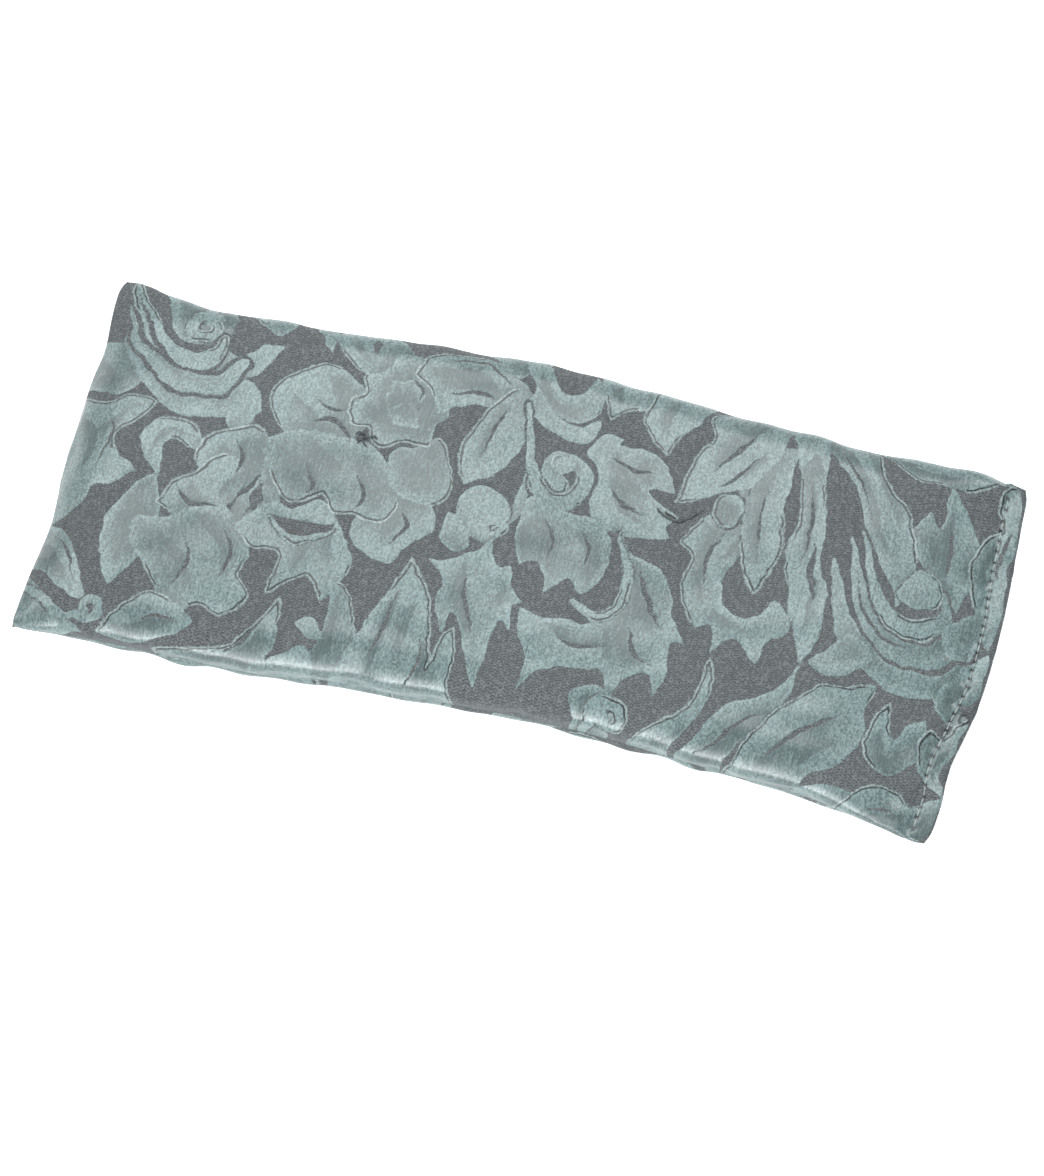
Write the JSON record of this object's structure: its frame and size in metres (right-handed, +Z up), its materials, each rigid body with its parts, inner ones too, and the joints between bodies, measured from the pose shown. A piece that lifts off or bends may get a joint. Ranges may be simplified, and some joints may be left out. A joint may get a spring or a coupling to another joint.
{
  "type": "eye pillow",
  "caption": "Seed-filled rectangular eye pillow: woven jacquard cover sewn round a loose inner pouch, draping about a fold at the bridge of the nose.",
  "frame": {"origin": "centre of the resting face, on the table plane", "axes": "+X along the length towards the topstitched closing end, +Y across the width towards the far long side, +Z up through the front panel"},
  "size_m": [0.229, 0.097, 0.0154],
  "materials": {
    "jacquard": "satin",
    "seam_thread": "satin",
    "muslin": "matte",
    "pouch_thread": "matte",
    "flax_seed": "satin",
    "lavender": "matte",
    "dark_yarn": "matte"
  },
  "bodies": {
    "left_lobe": {"front_panel": "jacquard", "back_panel": "jacquard", "cover_needle_thread": "seam_thread", "cover_bobbin_thread": "seam_thread", "closing_needle_thread": "seam_thread", "closing_bobbin_thread": "seam_thread", "pouch_front": "muslin", "pouch_back": "muslin", "pouch_needle_thread": "pouch_thread", "pouch_bobbin_thread": "pouch_thread", "pouch_closing_needle_thread": "pouch_thread", "pouch_closing_bobbin_thread": "pouch_thread", "flax_seed_left": "flax_seed", "lavender_buds_left": "lavender", "thread_snag_left": "dark_yarn"},
    "right_lobe": {"flax_seed_right": "flax_seed", "lavender_buds_right": "lavender", "thread_snag_right": "dark_yarn", "closing_thread_loop": "dark_yarn"}
  },
  "joints": [
    {"name": "bridge_fold", "type": "hinge", "parent": "left_lobe", "child": "right_lobe", "pos_m": [0, 0, 0.0075], "axis": [0, 1, 0], "range_deg": [-60, 60], "deforming": ["front_panel", "back_panel", "cover_needle_thread", "cover_bobbin_thread", "closing_needle_thread", "closing_bobbin_thread", "pouch_front", "pouch_back", "pouch_needle_thread", "pouch_bobbin_thread", "pouch_closing_needle_thread", "pouch_closing_bobbin_thread"]}
  ]
}
